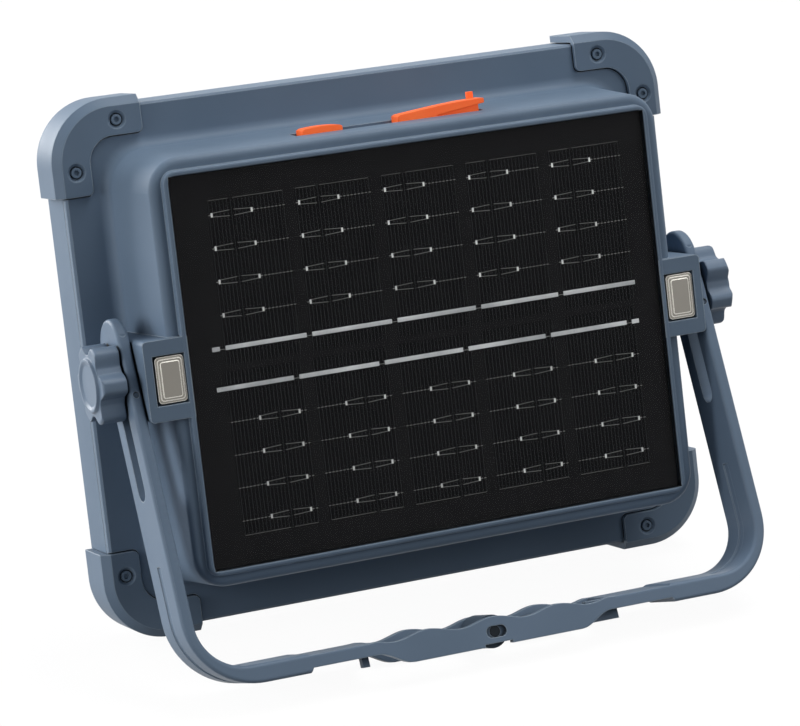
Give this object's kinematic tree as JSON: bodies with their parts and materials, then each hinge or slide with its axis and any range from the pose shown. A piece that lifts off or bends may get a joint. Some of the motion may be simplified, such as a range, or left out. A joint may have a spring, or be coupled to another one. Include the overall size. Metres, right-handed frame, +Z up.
{
  "type": "solar flood light",
  "caption": "Portable flood light with a solar panel on its back, a swinging and sliding stand handle, clamp knobs, magnets and a folding hook in the grip.",
  "frame": {"origin": "centre of the bounding box on the ground, with the lamp leaning back on its lower guards and its grip", "axes": "+Z up, +X along the panel's width toward the port cover's end, +Y from the panel side toward the lamp side"},
  "size_m": [0.2402, 0.1276, 0.1884],
  "materials": {
    "housing_plastic": "fine moulded texture, slate blue-grey",
    "panel_glass": "clear flat glass over dark cells",
    "cells": "near-black silicon",
    "ribbon": "tinned copper",
    "backing": "dark laminate",
    "seal": "dark soft rubber",
    "lens": "clear polycarbonate",
    "white_plastic": "white reflecting plastic",
    "led_board": "white-coated aluminium board",
    "led": "yellow phosphor",
    "steel": "zinc-plated",
    "dark_steel": "blackened",
    "magnet": "nickel-plated",
    "brass": "turned brass",
    "dark_plastic": "dark nylon",
    "orange": "soft orange rubber",
    "socket": "tin-plated",
    "green_board": "solder resist",
    "battery": "blue sleeve"
  },
  "bodies": {
    "lamp": {"rear_housing": "housing_plastic", "solar_glass": "panel_glass", "solar_cells": "cells", "cell_ribbons": "ribbon", "panel_backing": "backing", "front_frame": "housing_plastic", "lens_gasket": "seal", "front_lens": "lens", "reflector": "white_plastic", "led_board": "led_board", "led_chips": "led", "led_board_screws": "steel", "top_left_guard": "housing_plastic", "top_right_guard": "housing_plastic", "bottom_left_guard": "housing_plastic", "bottom_right_guard": "housing_plastic", "guard_screws": "dark_steel", "left_magnet": "magnet", "right_magnet": "magnet", "left_pivot_insert": "brass", "right_pivot_insert": "brass", "usb_a_socket": "socket", "usb_c_socket": "socket", "power_switch": "dark_plastic", "control_board": "green_board", "board_screws": "steel", "battery_tray": "dark_plastic", "battery_cells": "battery", "battery_strap": "dark_plastic"},
    "slot_bushes": {"left_slot_bush": "dark_plastic", "right_slot_bush": "dark_plastic"},
    "handle": {"handle": "housing_plastic", "hook_pin": "steel"},
    "hook": {"hook": "dark_plastic"},
    "left_knob": {"left_knob": "housing_plastic", "left_clamp_bolt": "steel"},
    "right_knob": {"right_knob": "housing_plastic", "right_clamp_bolt": "steel"},
    "power_button": {"power_button": "orange"},
    "port_cover": {"port_cover": "orange"}
  },
  "joints": [
    {"name": "handle_swing", "type": "hinge", "parent": "lamp", "child": "slot_bushes", "pos_m": [0, 0.00358, 0.10084], "axis": [-1, 0, 0], "range_deg": [-22, 165]},
    {"name": "handle_slide", "type": "slide", "parent": "slot_bushes", "child": "handle", "axis": [0, -0.5069, -0.862], "range_m": [0, 0.0063]},
    {"name": "hook_swing", "type": "hinge", "parent": "handle", "child": "hook", "pos_m": [0, -0.0509, 0.00821], "axis": [0, 0.9338, -0.3577], "range_deg": [0, 180]},
    {"name": "left_knob_turn", "type": "hinge", "parent": "lamp", "child": "left_knob", "pos_m": [-0.1129, 0.00358, 0.10084], "axis": [-1, 0, 0], "range_deg": [0, 720]},
    {"name": "right_knob_turn", "type": "hinge", "parent": "lamp", "child": "right_knob", "pos_m": [0.1129, 0.00358, 0.10084], "axis": [1, 0, 0], "range_deg": [0, 720]},
    {"name": "power_button_press", "type": "slide", "parent": "lamp", "child": "power_button", "axis": [0, -0.2072, -0.9783], "range_m": [0, 0.001], "stiffness_N_per_m": 1500, "springref_m": -0.0005},
    {"name": "port_cover_open", "type": "hinge", "parent": "lamp", "child": "port_cover", "pos_m": [0.0018, 0.01804, 0.17396], "axis": [0, -0.9783, 0.2072], "range_deg": [0, 110]}
  ]
}
